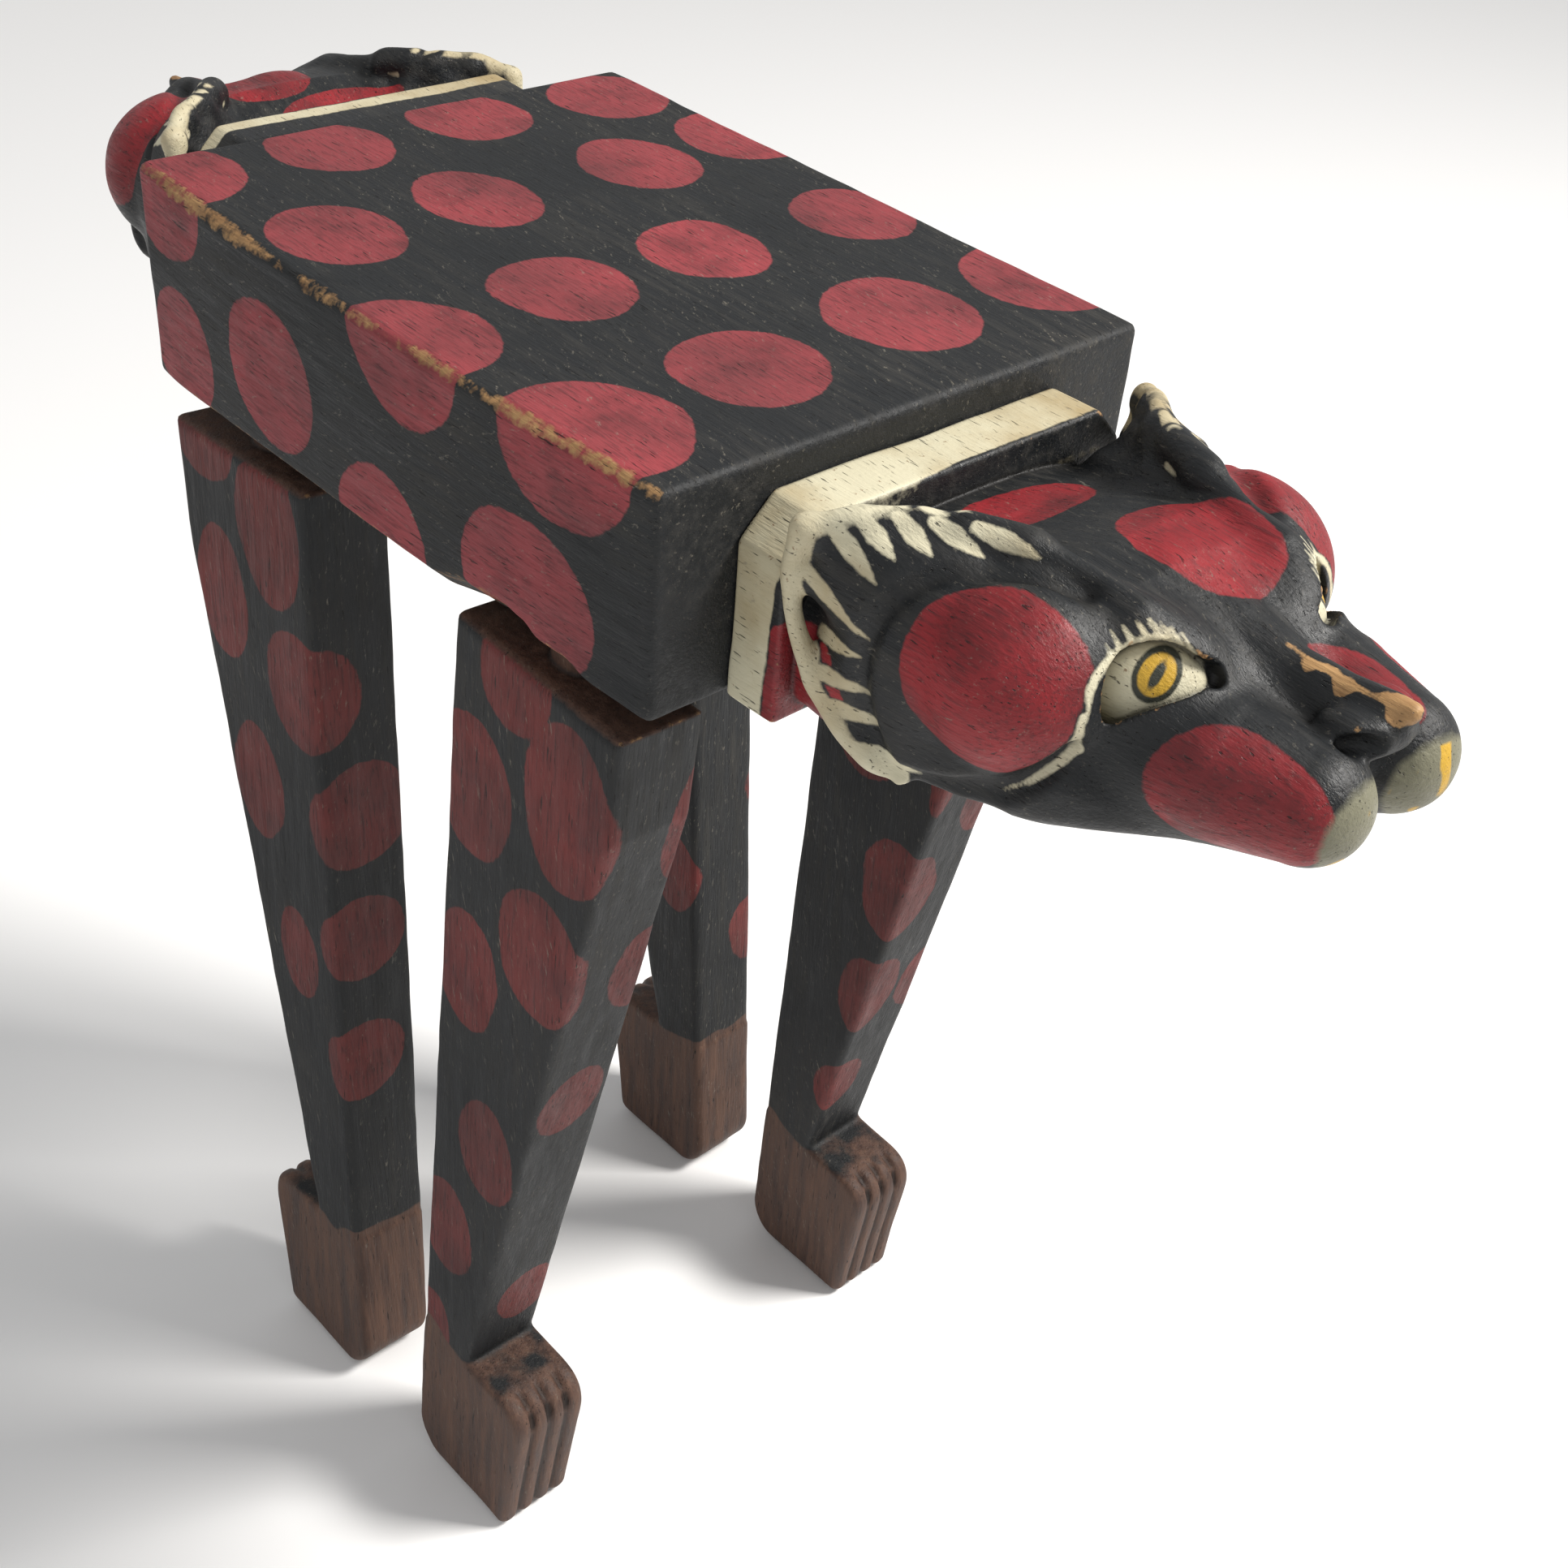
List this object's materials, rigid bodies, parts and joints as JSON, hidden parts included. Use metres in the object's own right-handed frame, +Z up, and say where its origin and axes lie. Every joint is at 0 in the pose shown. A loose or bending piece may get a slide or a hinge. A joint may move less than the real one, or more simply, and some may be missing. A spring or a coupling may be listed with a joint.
{
  "type": "carved animal bench",
  "caption": "Low carved wooden bench shaped as a spotted cat with a head at each end, a slab seat and leaning legs that end in paws, painted black with red spots.",
  "frame": {"origin": "on the floor under the middle of the bench, at the centre of its bounding box in plan", "axes": "+X along the bench towards the front head, +Y across it towards its right side, +Z up"},
  "size_m": [0.5628, 0.2084, 0.4655],
  "materials": {
    "seat_paint": "worn matt black paint with dusty red spots, bare tan wood along the worn edges",
    "head_paint": "satin black paint with brighter red spots, cream collar, ear strokes and eyes",
    "leg_paint": "matt black paint with dark red spots, reddish brown paws",
    "bare_wood": "unpainted cut hardwood"
  },
  "bodies": {
    "root": {"seat_block": "seat_paint", "front_head": "head_paint", "rear_head": "head_paint", "front_left_leg": "leg_paint", "front_right_leg": "leg_paint", "rear_left_leg": "leg_paint", "rear_right_leg": "leg_paint", "front_left_wedge": "bare_wood", "front_right_wedge": "bare_wood", "rear_left_wedge": "bare_wood", "rear_right_wedge": "bare_wood", "front_left_peg": "bare_wood", "front_right_peg": "bare_wood", "rear_left_peg": "bare_wood", "rear_right_peg": "bare_wood"}
  },
  "joints": []
}
